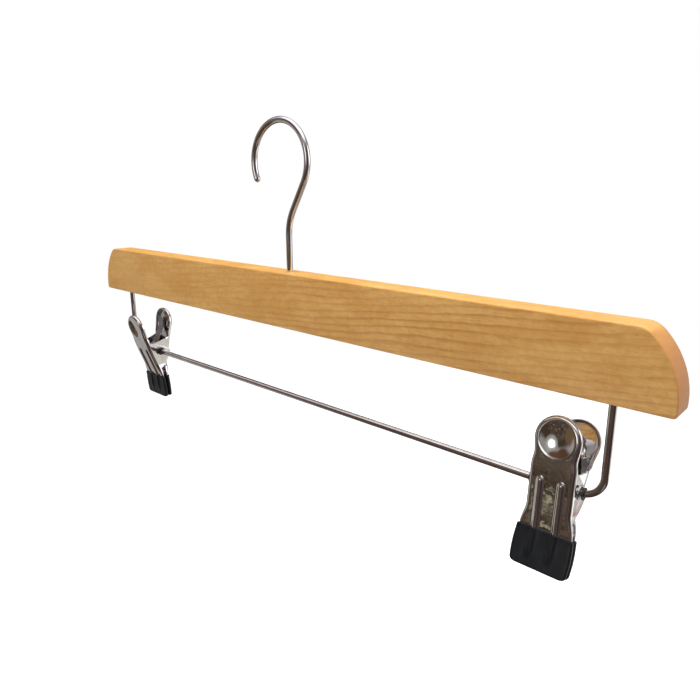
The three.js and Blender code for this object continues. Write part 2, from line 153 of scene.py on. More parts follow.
# Corners of the ears: height, and how far behind the pivot's line. Past both ends there is only the flange.
FRONT_EAR = ((-12.6, -1.7), (-11, 1), (-8, 4), (-5, 6.2), (-1.5, 7.4), (0.8, 5.4), (3.5, 0.6), (7.4, -6.8))
REAR_EAR = ((-8.6, -3), (-7, 0), (-5, 2.8), (-2.5, 4.4), (4, 4.4), (6, 3.6), (6.4, -4.5), (8.5, -8.0))
EAR_ROUNDING = 0.6
NO_EAR = -99
CUT_EDGE_BULGE = 0.3
CUT_EDGE_ANGLES = (45, 0, -45)

# How finely a jaw is divided: across and up its face, round its pad, round its fold and down its sides.
FACE_COLUMNS = 61
FACE_ROWS = 90
PAD_ROWS = 15
FOLD_ROWS = 10
SIDE_ROWS = 17

# Rubber tips: the outside, then the lip at the top, then the cup that the jaw's foot sits in.
TIP_TOP = -18.2
TIP_FOOT = -33.5
TIP_FIT = 0.05
TIP_WALL = 0.55
TIP_CORNER = 1.8
TIP_CORNER_DEPTH = 0.95
TIP_CORNER_THINNING = 0.5
TIP_SIDE_ROUND = 0.9
TIP_SIDE_BULGE = 0.5
TIP_SPREAD = 0.1
TIP_BACK = -0.12
TIP_SIDE_FLAT = 0.001
TIP_RIB_SHOW = 0.85
LIP_DROP = 0.35
LIP_RISE = 0.3
LIP_MIDDLE = 0.3
LIP_HALF = 0.25
LIP_ROUND = 0.8
CUP_WALL = 0.05
CUP_ROUND = 0.5
CUP_TOP_DROP = 0.4
CUP_FLOOR_DROP = 0.1

# Grip sleeves, each with a collar outside the ears on both sides.
SLEEVE_OUTER = 4.3
SLEEVE_INNER = 3.1
SLEEVE_LENGTH = 16.6
SLEEVE_EDGE = 0.2
COLLAR = 5.0
COLLAR_WIDTH = 0.55
COLLAR_PLACE = 10.3
COLLAR_EDGE = 0.15

# Springs. A leg's corners run from its end down: distance from the clip's middle, and height.
SPRING_WIDTH = 6.6
SPRING_WAIST = 0.74
SPRING_SHEET = 0.6
SPRING_BEND = 3.2
SPRING_BEND_HEIGHT = 6
SPRING_BEND_TURN = (200, 340)
SPRING_END_SHARES = (0.55, 0.8, 0.94)
SPRING_SMOOTHING = 5
SPRING_FRONT_LEG = ((8.1, 20.7), (8.0, 16), (7.0, 12))
SPRING_REAR_LEG = ((9.6, 20.7), (9.2, 16), (7.6, 12))

# Camera: place in millimetres, angles in degrees.
CAMERA_PLACE = (237.3, -211.8, -27.0)
CAMERA_AZIMUTH = 42.6
CAMERA_PITCH = -14.57
CAMERA_ROLL = -0.1
CAMERA_LENS = 31.54
CAMERA_SHIFT = (-0.00075, -0.01383)

# Floor and fade, in metres.
FLOOR_DROP = 0.12
FLOOR_FADE = (0.25, 0.75)

bar_low, bar_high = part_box("wooden_bar")
bar_top = bar_high.z / MM
bar_foot = bar_low.z / MM
bar_half = bar_high.x / MM
bar_thickness = (bar_high.y - bar_low.y) / MM
wire_low, wire_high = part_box("trouser_bar")
wire_height = wire_low.z / MM + BAR_WIRE / 2
wire_half_span = wire_high.x / MM - BAR_WIRE / 2
pivots = {joint["name"]: Vector(joint["pos_m"]) for joint in frame["joints"] if "pos_m" in joint}


# ---------------------------------------------------------------- shader nodes


def srgb(red, green, blue):
    """A colour given from 0 to 255, as the linear colour that a shader takes."""
    linear = [((v / 255 + 0.055) / 1.055) ** 2.4 if v > 10 else v / 255 / 12.92 for v in (red, green, blue)]
    return (*linear, 1)


class Nodes:
    """A node tree, with short ways to add nodes and to link them."""

    def __init__(self, tree):
        self.tree = tree
        tree.nodes.clear()

    def add(self, kind, inputs=None, **settings):
        node = self.tree.nodes.new("ShaderNode" + kind)
        for key, value in settings.items():
            setattr(node, key, value)
        for name, value in (inputs or {}).items():
            if isinstance(value, bpy.types.NodeSocket):
                self.tree.links.new(value, node.inputs[name])
            else:
                node.inputs[name].default_value = value
        return node

    def math(self, operation, a, b=0.0):
        return self.add("Math", {0: a, 1: b}, operation=operation).outputs[0]

    def vector(self, operation, a, b, output=0):
        return self.add("VectorMath", {0: a, 1: b}, operation=operation).outputs[output]

    def mix(self, share, a, b):
        """The colour that is a where share is 0 and b where it is 1."""
        return self.add("Mix", {0: share, 6: a, 7: b}, data_type="RGBA").outputs[2]

    def between(self, value, low, high, start=0.0, end=1.0):
        """Goes smoothly from start, where value is low, to end, where it is high."""
        inputs = {0: value, 1: low, 2: high, 3: start, 4: end}
        return self.add("MapRange", inputs, interpolation_type="SMOOTHSTEP").outputs[0]

    def noise(self, vector, scale, detail=3, roughness=0.5, distortion=0.0):
        inputs = {"Vector": vector, "Scale": scale, "Detail": detail}
        inputs.update({"Roughness": roughness, "Distortion": distortion})
        return self.add("TexNoise", inputs).outputs["Fac"]

    def stretched(self, scale):
        """The object's own coordinates, each multiplied by its part of scale."""
        here = self.add("TexCoord").outputs["Object"]
        return self.vector("MULTIPLY", here, scale)


def finished(name, build):
    """A material from the shader inputs, the bump height and its distance that build(nodes) returns."""
    material = bpy.data.materials.new(name)
    material.use_nodes = True
    nodes = Nodes(material.node_tree)
    inputs = build(nodes)
    height = inputs.pop("height")
    distance = inputs.pop("height_distance")
    bump = nodes.add("Bump", {"Height": height, "Strength": 1.0, "Distance": distance})
    inputs["Normal"] = bump.outputs[0]
    shader = nodes.add("BsdfPrincipled", inputs)
    output = nodes.add("OutputMaterial")
    nodes.tree.links.new(shader.outputs[0], output.inputs[0])
    return material


# ------------------------------------------------------------------- materials


HONEY_PALE = srgb(216, 178, 112)
HONEY_LIGHT = srgb(203, 163, 97)
HONEY = srgb(186, 141, 74)
HONEY_DARK = srgb(162, 117, 58)
RING_BROWN = srgb(142, 92, 44)
PORE_BROWN = srgb(122, 80, 42)
END_BROWN = srgb(170, 112, 58)
BURNISHED = srgb(172, 112, 48)

# Growth rings of the maple, in metres. The middle of the tree lies in front of the bar and far below it.
PITH_IN_FRONT = 0.055
PITH_BELOW = 0.31
GRAIN_SLOPE = 0.1
RING_WANDER = 0.0075
RING_RIPPLE = 0.0011
RINGS_PER_METRE = 300


def wood(nodes):
    """Honey-coloured maple under satin lacquer, its fine rings running at a slight slope to the bar."""
    here = nodes.add("TexCoord")
    place = nodes.add("SeparateXYZ", {0: here.outputs["Object"]})
    wander = nodes.noise(nodes.stretched((13, 40, 60)), 1.0, 3, 0.5)
    ripple = nodes.noise(nodes.stretched((70, 200, 220)), 1.0, 3, 0.6)
    across = nodes.math("ADD", place.outputs["Y"], PITH_IN_FRONT)
    up = nodes.math("ADD", place.outputs["Z"], PITH_BELOW)
    up = nodes.math("SUBTRACT", up, nodes.math("MULTIPLY", place.outputs["X"], GRAIN_SLOPE))
    ring = nodes.math("SQRT", nodes.math("ADD", nodes.math("POWER", across, 2), nodes.math("POWER", up, 2)))
    ring = nodes.math("ADD", ring, nodes.math("MULTIPLY", wander, RING_WANDER))
    ring = nodes.math("ADD", ring, nodes.math("MULTIPLY", ripple, RING_RIPPLE))
    season = nodes.math("FRACT", nodes.math("MULTIPLY", ring, RINGS_PER_METRE))
    late_wood = nodes.math("MULTIPLY", nodes.between(season, 0.45, 0.86), nodes.between(season, 1.0, 0.9))
    facing = nodes.add("SeparateXYZ", {0: here.outputs["Normal"]})
    late_wood = nodes.math("MULTIPLY", late_wood, nodes.between(facing.outputs["Z"], 0.4, 0.9, 1.0, 0.25))
    patches = nodes.noise(nodes.stretched((14, 60, 70)), 1.0, 3)
    late_wood = nodes.math("MULTIPLY", late_wood, nodes.between(patches, 0.38, 0.6, 0.4, 1.0))
    late_wood = nodes.math("MULTIPLY", late_wood, nodes.between(place.outputs["X"], -0.1, 0.12, 0.3, 1.0))
    fibre = nodes.noise(nodes.stretched((160, 1500, 1500)), 1.0, 4, 0.6)
    shimmer = nodes.noise(nodes.stretched((420, 420, 420)), 1.0, 3, 0.6)
    blotch = nodes.noise(nodes.stretched((30, 90, 90)), 1.0, 5, 0.65, 0.5)
    pore = nodes.noise(nodes.stretched((700, 3000, 3000)), 1.0, 2, 0.5)
    colour = nodes.mix(nodes.between(blotch, 0.3, 0.7), HONEY_LIGHT, HONEY)
    colour = nodes.mix(nodes.between(shimmer, 0.35, 0.7, 0.0, 0.22), colour, HONEY_DARK)
    colour = nodes.mix(nodes.math("MULTIPLY", late_wood, 0.58), colour, RING_BROWN)
    colour = nodes.mix(nodes.between(fibre, 0.45, 0.75, 0.0, 0.3), colour, RING_BROWN)
    colour = nodes.mix(nodes.between(shimmer, 0.5, 0.3, 0.0, 0.09), colour, HONEY_PALE)
    colour = nodes.mix(nodes.between(pore, 0.64, 0.72, 0.0, 0.4), colour, PORE_BROWN)
    end_grain = nodes.between(nodes.math("ABSOLUTE", facing.outputs["X"]), 0.45, 0.9, 0.0, 0.8)
    colour = nodes.mix(end_grain, colour, END_BROWN)
    worn = nodes.add("Attribute", attribute_name="edge").outputs["Fac"]
    colour = nodes.mix(nodes.math("MULTIPLY", worn, 0.45), colour, BURNISHED)
    smudge = nodes.noise(nodes.stretched((60, 60, 60)), 1.0, 3)
    relief = nodes.math("ADD", nodes.math("MULTIPLY", fibre, 0.6), nodes.math("MULTIPLY", late_wood, -0.5))
    return {
        "Base Color": colour,
        "Roughness": nodes.between(smudge, 0.3, 0.7, 0.36, 0.48),
        "Specular IOR Level": 0.36,
        "Coat Weight": 0.08,
        "Coat Roughness": 0.25,
        "height": relief,
        "height_distance": 0.04 * MM,
    }


def chrome(wave_scale, wave_depth):
    """Polished plating with soft waves in the metal under it, smudges and hairline scratches."""

    def build(nodes):
        waves = nodes.noise(nodes.stretched((1, 1, 1)), wave_scale, 2, 0.5)
        smudge = nodes.noise(nodes.stretched((1, 1, 1)), 170, 4, 0.6, 0.5)
        hair = nodes.noise(nodes.stretched((3000, 900, 160)), 1.0, 2, 0.5)
        scratch = nodes.between(hair, 0.66, 0.72)
        colour = nodes.mix(nodes.between(smudge, 0.35, 0.7), (0.80, 0.785, 0.77, 1), (0.68, 0.665, 0.65, 1))
        rough = nodes.between(smudge, 0.35, 0.75, 0.05, 0.16)
        rough = nodes.math("ADD", rough, nodes.math("MULTIPLY", scratch, 0.12))
        height = nodes.math("SUBTRACT", waves, nodes.math("MULTIPLY", scratch, 0.02))
        return {
            "Base Color": colour,
            "Metallic": 1.0,
            "Roughness": rough,
            "height": height,
            "height_distance": wave_depth * MM,
        }

    return build


def spring_steel(nodes):
    """Tempered strip, brushed along its length."""
    brushed = nodes.noise(nodes.stretched((5000, 700, 60)), 1.0, 3, 0.6)
    stain = nodes.noise(nodes.stretched((1, 1, 1)), 220, 3, 0.5)
    colour = nodes.mix(nodes.between(stain, 0.35, 0.7), (0.50, 0.51, 0.53, 1), (0.36, 0.34, 0.33, 1))
    return {
        "Base Color": colour,
        "Metallic": 1.0,
        "Roughness": nodes.between(brushed, 0.3, 0.7, 0.22, 0.42),
        "height": brushed,
        "height_distance": 0.01 * MM,
    }


def tip_rubber(nodes):
    """Dipped black rubber, faintly streaked down the jaw and a little dusty."""
    streak = nodes.noise(nodes.stretched((420, 260, 60)), 1.0, 3, 0.55)
    grain = nodes.noise(nodes.stretched((1, 1, 1)), 2600, 3, 0.6)
    dust = nodes.noise(nodes.stretched((1, 1, 1)), 240, 5, 0.7)
    black, blue_black = (0.0045, 0.005, 0.0065, 1), (0.0085, 0.0125, 0.0145, 1)
    colour = nodes.mix(nodes.between(streak, 0.45, 0.75), black, blue_black)
    colour = nodes.mix(nodes.between(dust, 0.62, 0.8), colour, (0.024, 0.03, 0.034, 1))
    height = nodes.math("ADD", streak, nodes.math("MULTIPLY", grain, 0.25))
    return {
        "Base Color": colour,
        "Roughness": nodes.between(dust, 0.3, 0.7, 0.3, 0.46),
        "Specular IOR Level": 0.34,
        "height": height,
        "height_distance": 0.05 * MM,
    }


def sleeve_plastic(nodes):
    """Soft black tubing, scuffed where it rubs."""
    scuff = nodes.noise(nodes.stretched((900, 400, 400)), 1.0, 3, 0.6)
    colour = nodes.mix(nodes.between(scuff, 0.5, 0.75), (0.008, 0.008, 0.009, 1), (0.03, 0.03, 0.03, 1))
    return {
        "Base Color": colour,
        "Roughness": nodes.between(scuff, 0.3, 0.7, 0.28, 0.5),
        "height": scuff,
        "height_distance": 0.02 * MM,
    }


WOOD = finished("lacquered_maple", wood)
WIRE_CHROME = finished("chromed_wire", chrome(90, 0.02))
SHEET_CHROME = finished("chromed_sheet", chrome(260, 0.05))
STEEL = finished("tempered_steel", spring_steel)
RUBBER = finished("dipped_rubber", tip_rubber)
TUBING = finished("black_tubing", sleeve_plastic)


# ---------------------------------------------------------------- mesh helpers


def piece(name, vertices, faces, material, slot, place=Matrix.Identity(4)):
    """A smooth mesh object from points in millimetres, put in place by a matrix."""
    mesh = bpy.data.meshes.new(name)
    mesh.from_pydata((np.asarray(vertices, float) * MM).tolist(), [], faces)
    mesh.validate()
    mesh.polygons.foreach_set("use_smooth", [True] * len(mesh.polygons))
    mesh.materials.append(material)
    thing = bpy.data.objects.new(name, mesh)
    scene.collection.objects.link(thing)
    thing.matrix_world = place
    return thing


def loft(rings, closed=False):
    """A skin over rings of equal count, capped at both ends unless it closes on itself."""
    count = len(rings[0])
    vertices = np.concatenate(rings)
    faces = []
    last = len(rings) if closed else len(rings) - 1
    for r in range(last):
        low = r * count
        high = (r + 1) % len(rings) * count
        for i in range(count):
            j = (i + 1) % count
            faces.append((low + i, low + j, high + j, high + i))
    if not closed:
        faces.append(tuple(range(count - 1, -1, -1)))
        top = (len(rings) - 1) * count
        faces.append(tuple(range(top, top + count)))
    return vertices, faces


def arc(x, z, radius, start, end, step=3.0):
    """Points of an arc in the XZ plane, from one angle to another in degrees."""
    count = max(2, int(abs(end - start) / step) + 1)
    angles = np.radians(np.linspace(start, end, count))
    return np.stack([x + radius * np.cos(angles), 0 * angles, z + radius * np.sin(angles)], 1)


def line(start, end, step=4.0):
    """Points of a straight run, without its ends."""
    start, end = np.asarray(start, float), np.asarray(end, float)
    count = max(2, int(np.linalg.norm(end - start) / step))
    shares = np.arange(1, count)[:, None] / count
    return start + shares * (end - start)


def wire(points, diameter, sides=32):
    """A round wire along points in the XZ plane, with domed ends."""
    tangents = np.gradient(points, axis=0)
    tangents /= np.linalg.norm(tangents, axis=1)[:, None]
    radius = diameter / 2
    turns = np.linspace(0, 2 * np.pi, sides, endpoint=False)
    side = np.array([0.0, 1.0, 0.0])

    def ring(point, tangent, size):
        out = np.cross(side, tangent)
        return point + size * (np.cos(turns)[:, None] * side + np.sin(turns)[:, None] * out)

    rings = [ring(p, t, radius) for p, t in zip(points, tangents)]
    for angle in np.radians(WIRE_END_ANGLES):
        push, size = radius * np.sin(angle), radius * np.cos(angle)
        rings.insert(0, ring(points[0] - push * tangents[0], tangents[0], size))
        rings.append(ring(points[-1] + push * tangents[-1], tangents[-1], size))
    vertices, faces = loft(rings)
    return vertices, [face[::-1] for face in faces]


def turned(profile, sides=64, closed=False):
    """A profile of (radius, height) points, from its foot up the outside to its top, turned about Z."""
    turns = np.linspace(0, 2 * np.pi, sides, endpoint=False)
    circle = np.stack([np.cos(turns), np.sin(turns), 0 * turns], 1)
    up = np.array([0.0, 0.0, 1.0])
    return loft([radius * circle + height * up for radius, height in profile], closed)


def rounded(low, high, inner, outer, edge, points=4):
    """The closed profile of a ring with rounded edges, anticlockwise in (radius, height)."""
    profile = []
    corners = ((outer, low, -90), (outer, high, 0), (inner, high, 90), (inner, low, 180))
    for radius, height, start in corners:
        inward = edge if radius == inner else -edge
        upward = edge if height == low else -edge
        for angle in np.radians(np.linspace(start, start + 90, points)):
            profile.append((radius + inward + edge * np.cos(angle), height + upward + edge * np.sin(angle)))
    return profile


def smooth_step(value, limits):
    """0 below the first limit, 1 above the second, and a smooth climb between them."""
    share = np.clip((value - limits[0]) / (limits[1] - limits[0]), 0, 1)
    return share * share * (3 - 2 * share)


# -------------------------------------------------------------- wood and wires


def settled(thing):
    """Replaces a piece's mesh by the result of its modifiers."""
    graph = bpy.context.evaluated_depsgraph_get()
    mesh = bpy.data.meshes.new_from_object(thing.evaluated_get(graph))
    thing.modifiers.clear()
    thing.data = mesh


def curve(start, control, end, count=10):
    """A rounded corner, as a quadratic curve."""
    start, control, end = (np.asarray(point, float) for point in (start, control, end))
    share = np.linspace(0, 1, count)[:, None]
    return (1 - share) ** 2 * start + 2 * share * (1 - share) * control + share**2 * end


def bar_outline(inset):
    """The bar's outline drawn in by an inset: always as many points, clockwise seen from the front."""
    radius = END_ARC_RADIUS - inset
    arc_x = bar_half - END_ARC_RADIUS
    arc_z = bar_foot + END_BULGE_HEIGHT
    top = bar_top - inset
    foot = bar_foot + inset
    top_x = arc_x + math.sqrt(radius**2 - (top - arc_z) ** 2)
    foot_x = arc_x + math.sqrt(radius**2 - (arc_z - foot) ** 2)
    start = -math.asin((arc_z - foot - END_FOOT_ROUND) / radius)
    end = math.asin((top - arc_z) / radius) - END_TOP_ROUND / radius
    turns = np.linspace(start, end, 30)
    side = np.stack([arc_x + radius * np.cos(turns), 0 * turns, arc_z + radius * np.sin(turns)], 1)
    foot_corner = curve((foot_x - END_FOOT_ROUND, 0, foot), (foot_x, 0, foot), side[0])
    top_corner = curve(side[-1], (top_x, 0, top), (top_x - END_TOP_ROUND, 0, top))
    right = np.concatenate([foot_corner[:-1], side, top_corner[1:]])[::-1]
    left = right[::-1] * (-1, 1, 1)
    share = np.linspace(0, 1, 120)[1:-1, None]
    foot_run = right[-1] + share * (left[0] - right[-1])
    top_run = left[-1] + share * (right[0] - left[-1])
    return np.concatenate([right, foot_run, left, top_run])


def mark_edges(board):
    """Stores how near each point is to the rounded edges, for the wear in the wood's colour."""
    mesh = board.data
    points = np.array([vertex.co for vertex in mesh.vertices]) / MM
    depth = bar_thickness / 2 - np.abs(points[:, 1])
    near = 1 - smooth_step(np.abs(depth - BAR_EDGE_ROUND / 2), (0, BAR_EDGE_ROUND))
    attribute = mesh.attributes.new("edge", "FLOAT", "POINT")
    attribute.data.foreach_set("value", near.astype(np.float32))


def wooden_bar():
    """A board with rounded edges, bored for the shank and the ends of the lower wire."""
    half = bar_thickness / 2
    steps = np.radians(np.linspace(0, 90, 6))
    rounding = [(BAR_EDGE_ROUND * (1 - math.cos(a)), BAR_EDGE_ROUND * (1 - math.sin(a))) for a in steps]
    rings = []
    for side, order in ((-1, rounding[::-1]), (1, rounding)):
        for inset, back in order:
            ring = bar_outline(inset)
            ring[:, 1] = side * (half - back)
            rings.append(ring)
    board = piece("maple_bar", *loft(rings), WOOD, "lacquered_wood")
    below = bar_foot - CUTTER_PAST
    bores = [(0, HOOK_BORE, bar_top + CUTTER_PAST), (0, COUNTERBORE, bar_foot + COUNTERBORE_DEPTH)]
    for side in (-1, 1):
        bores.append((side * wire_half_span, WIRE_BORE, bar_foot + WIRE_SOCKET))
    for x, diameter, high in bores:
        cutter_mesh = turned([(diameter / 2, below), (diameter / 2, high)], 48)
        cutter = piece("bore", *cutter_mesh, WOOD, "lacquered_wood", Matrix.Translation((x * MM, 0, 0)))
        cut = board.modifiers.new("bore", "BOOLEAN")
        cut.operation = "DIFFERENCE"
        cut.solver = "EXACT"
        cut.object = cutter
        settled(board)
        bpy.data.objects.remove(cutter)
    board.data.set_sharp_from_angle(angle=math.radians(40))
    mark_edges(board)
    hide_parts("wooden_bar")
    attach(board, "bar")


def hook():
    """Tip, loop, leaning neck and shank in one wire, riveted over under the washer."""
    loop_z = bar_top + LOOP_HEIGHT
    lean = math.radians(NECK_LEAN)
    loop = arc(LOOP_OFFSET, loop_z, LOOP_RADIUS, LOOP_TIP_ANGLE, -NECK_LEAN)
    bend_x = NECK_RADIUS * (1 - math.cos(lean))
    slope = (loop[-1][0] - bend_x) / math.sin(lean)
    neck_z = loop[-1][2] - slope * math.cos(lean) - NECK_RADIUS * math.sin(lean)
    neck = arc(NECK_RADIUS, neck_z, NECK_RADIUS, 180 - NECK_LEAN, 180)
    head_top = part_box("hook")[0].z / MM + RIVET_HEAD_HEIGHT
    shank_end = (0, 0, head_top - RIVET_HEAD_HEIGHT / 2)
    parts = [loop, line(loop[-1], neck[0]), neck, line(neck[-1], shank_end)]
    vertices, faces = wire(np.concatenate(parts), HOOK_WIRE)
    bent = piece("hook_wire", vertices, faces, WIRE_CHROME, "chrome_wire")
    half = RIVET_HEAD / 2
    rise = RIVET_HEAD_HEIGHT - RIVET_HEAD_RIM
    angles = np.radians(np.linspace(4, 90, 12))
    dome = [(half * math.sin(a), head_top - RIVET_HEAD_RIM - rise * math.cos(a)) for a in angles]
    rim = [(half, head_top - RIVET_HEAD_EDGE), (half - RIVET_HEAD_EDGE, head_top)]
    head = piece("hook_rivet_head", *turned(dome + rim), WIRE_CHROME, "chrome_wire")
    for thing in (bent, head):
        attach(thing, "hook")
    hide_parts("hook")
    low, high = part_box("hook_washer")
    section = rounded(low.z / MM, high.z / MM, HOOK_BORE / 2, high.x / MM, WASHER_EDGE)
    washer = piece("swivel_washer", *turned(section, closed=True), STEEL, "spring_steel")
    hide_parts("hook_washer")
    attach(washer, "bar")


def lower_wire():
    """Down from one socket, along under the bar and up into the other."""
    inner = wire_half_span - WIRE_BEND
    bend_z = wire_height + WIRE_BEND
    top = wire_high.z / MM - BAR_WIRE / 2
    left = arc(-inner, bend_z, WIRE_BEND, 180, 270)
    right = arc(inner, bend_z, WIRE_BEND, 270, 360)
    left_top = (-wire_half_span, 0, top)
    right_top = (wire_half_span, 0, top)
    parts = [[left_top], line(left_top, left[0]), left, line(left[-1], right[0]), right]
    parts += [line(right[-1], right_top), [right_top]]
    bent = piece("lower_wire", *wire(np.concatenate(parts), BAR_WIRE), WIRE_CHROME, "chrome_wire")
    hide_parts("trouser_bar")
    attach(bent, "bar")


# ----------------------------------------------------------------------- clips


def jaw_reach(height, bends):
    """How far a jaw's outer face stands from the pivot: level at the tip, then leaning out to the pad."""
    reach = FOOT_REACH
    for bend, slope, length in bends:
        reach = reach + slope * length * np.log1p(np.exp((height - bend) / length))
    return reach


def fold_radius(height):
    """Radius of the fold along a jaw's sides and round its pad: small at the foot, inside the rubber."""
    return FOOT_FOLD_RADIUS + (FOLD_RADIUS - FOOT_FOLD_RADIUS) * smooth_step(height, FOLD_GROWTH)


def jaw_half_width(height, inset):
    """Half width of a jaw's outline, at a height below the middle of the finger pad."""
    flare = (TIP_HALF_WIDTH - EAR_HALF_WIDTH) * (1 - smooth_step(height, TIP_SHOULDER))
    to_pad = (PAD_RADIUS - EAR_HALF_WIDTH) * smooth_step(height, (EAR_SHOULDER, PAD_HEIGHT))
    into_neck = smooth_step(height, (EAR_SHOULDER, NECK_HEIGHT))
    pinch = NECK_PINCH * into_neck * (1 - smooth_step(height, (NECK_HEIGHT, PAD_HEIGHT)))
    narrow = inset * smooth_step(height, REAR_INSET_LOW) * (1 - smooth_step(height, REAR_INSET_HIGH))
    return EAR_HALF_WIDTH + flare + to_pad - pinch - narrow


def rib_relief(x, height):
    """How far the two ribs stand out of the face, with rounded tops."""
    past_top = np.maximum(0, height - (RIB_TOP - RIB_HALF_WIDTH))
    from_middle = np.hypot(np.abs(x) - RIB_SPACING / 2, past_top) / RIB_HALF_WIDTH
    return RIB_RISE * (1 - smooth_step(from_middle, (RIB_CREST, 1))) * smooth_step(height, RIB_FOOT)


def dish_relief(x, height):
    """How far the finger dish is pressed in, with a soft lip."""
    share = (x**2 + (height - PAD_HEIGHT) ** 2) / DISH_RADIUS**2
    depth = DISH_DEPTH * (1 - share)
    return DISH_LIP * np.log1p(np.exp(depth / DISH_LIP))


def ear_depth(height, ear, bends):
    """How far behind the pivot line the folded side ends, with the ear's corners rounded off."""
    flange = FOOT_FLANGE_DEPTH + (FLANGE_DEPTH - FOOT_FLANGE_DEPTH) * smooth_step(height, FOLD_GROWTH)
    plain = flange - jaw_reach(height, bends)
    heights, depths = np.array(ear).T
    shifts = np.linspace(-EAR_ROUNDING, EAR_ROUNDING, 7)
    rounded_ear = np.mean([np.interp(height + s, heights, depths, NO_EAR, NO_EAR) for s in shifts], axis=0)
    return np.maximum(plain, rounded_ear)


def pierced(vertices, faces):
    """Opens the wire's hole through both ears: drops the faces inside it and draws the rest up to its rim."""
    radius = EAR_HOLE / 2
    points = np.array(vertices)
    away = np.hypot(points[:, 1], points[:, 2])
    middles = points[np.array(faces)].mean(1)
    inside = np.hypot(middles[:, 1], middles[:, 2]) < radius
    kept = [face for face, gone in zip(faces, inside) if not gone]
    rim = {i for face, gone in zip(faces, inside) if gone for i in face}
    used = sorted({i for face in kept for i in face})
    for i in rim.intersection(used):
        points[i, 1:] *= radius / away[i]
    number = {old: new for new, old in enumerate(used)}
    return points[used], [tuple(number[i] for i in face) for face in kept]


def smooth_normals(vertices, faces):
    """A unit normal at each point of a surface of quads."""
    corners = [vertices[[face[i] for face in faces]] for i in range(4)]
    face_normals = np.cross(corners[2] - corners[0], corners[3] - corners[1])
    normals = np.zeros_like(vertices)
    for i in range(4):
        np.add.at(normals, [face[i] for face in faces], face_normals)
    return normals / np.maximum(np.linalg.norm(normals, axis=1)[:, None], TINY)


def open_edges(faces):
    """The edges that only one face has, each in the order in which its face runs round."""
    edges = set()
    for face in faces:
        for a, b in zip(face, face[1:] + face[:1]):
            if (b, a) in edges:
                edges.remove((b, a))
            else:
                edges.add((a, b))
    return sorted(edges)


def thickened(vertices, faces, thickness):
    """Gives an open surface its thickness, with the cut edges rounded over."""
    normals = smooth_normals(vertices, faces)
    edges = open_edges(faces)
    outward = np.zeros_like(vertices)
    for a, b in edges:
        side = np.cross(vertices[b] - vertices[a], normals[a])
        side /= max(np.linalg.norm(side), TINY)
        outward[a] += side
        outward[b] += side
    border = sorted({a for a, b in edges})
    direction = outward[border]
    direction /= np.maximum(np.linalg.norm(direction, axis=1)[:, None], TINY)
    middle = vertices[border] - normals[border] * thickness / 2
    layers = [vertices, vertices - normals * thickness]
    for angle in np.radians(CUT_EDGE_ANGLES):
        lift = normals[border] * math.sin(angle) * thickness / 2
        layers.append(middle + lift + direction * math.cos(angle) * thickness * CUT_EDGE_BULGE)
    count = len(vertices)
    made = [tuple(face) for face in faces]
    made += [tuple(i + count for i in reversed(face)) for face in faces]
    starts = [2 * count + k * len(border) for k in range(len(CUT_EDGE_ANGLES))]
    number = {v: i for i, v in enumerate(border)}
    for a, b in edges:
        ladder_a = [a, *(start + number[a] for start in starts), a + count]
        ladder_b = [b, *(start + number[b] for start in starts), b + count]
        for k in range(1, len(ladder_a)):
            made.append((ladder_a[k - 1], ladder_a[k], ladder_b[k], ladder_b[k - 1]))
    return np.concatenate(layers), made


def added(vertices, points):
    """Adds points to a list and gives back their numbers in it."""
    first = len(vertices)
    vertices.extend(points)
    return list(range(first, first + len(points)))


def jaw_face(inset, bends):
    """The points of a jaw's ribbed and dished face, and the rows of their numbers from the foot up."""
    columns = np.linspace(-1, 1, FACE_COLUMNS)
    vertices, rows = [], []

    def face_point(x, height):
        y = -jaw_reach(height, bends) - rib_relief(x, height) + dish_relief(x, height)
        return (x, y, height)

    for height in np.linspace(JAW_FOOT, PAD_HEIGHT, FACE_ROWS):
        half = jaw_half_width(height, inset) - fold_radius(height)
        rows.append(added(vertices, [face_point(p * half, height) for p in columns]))
    pad_flat = PAD_RADIUS - FOLD_RADIUS
    for share in np.linspace(0, 1, PAD_ROWS)[1:]:
        half = pad_flat * math.sqrt(1 - share**2 / 2)
        heights = PAD_HEIGHT + pad_flat * share * np.sqrt(1 - columns**2 / 2)
        rows.append(added(vertices, [face_point(p * half, h) for p, h in zip(columns, heights)]))
    return vertices, rows


def jaw_sides(vertices, edge, ear, bends, taper):
    """Adds the points of a jaw's folded sides, flanges and ears, and gives the rows of their numbers."""
    path = np.array([vertices[i] for i in edge])
    along = np.gradient(path[:, [0, 2]], axis=0)
    out = np.stack([along[:, 1], -along[:, 0]], 1)
    out /= np.linalg.norm(out, axis=1)[:, None]
    out[0], out[-1] = (1, 0), (-1, 0)
    radius = fold_radius(path[:, 2])
    rows = [edge]
    for angle in np.radians(np.linspace(0, 90, FOLD_ROWS))[1:]:
        shifted = path[:, [0, 2]] + (radius * math.sin(angle))[:, None] * out
        depth = -jaw_reach(shifted[:, 1], bends) + radius * (1 - math.cos(angle))
        rows.append(added(vertices, np.stack([shifted[:, 0], depth, shifted[:, 1]], 1).tolist()))
    fold_end = np.array([vertices[i] for i in rows[-1]])
    reach = ear_depth(fold_end[:, 2], ear, bends)
    for share in np.linspace(0, 1, SIDE_ROWS)[1:]:
        wall = fold_end.copy()
        wall[:, 1] += share * (reach - fold_end[:, 1])
        past_flange = np.maximum(0, wall[:, 1] - fold_end[:, 1] - FLANGE_DEPTH)
        wall[:, 0] -= np.sign(wall[:, 0]) * taper * past_flange
        rows.append(added(vertices, wall.tolist()))
    return rows


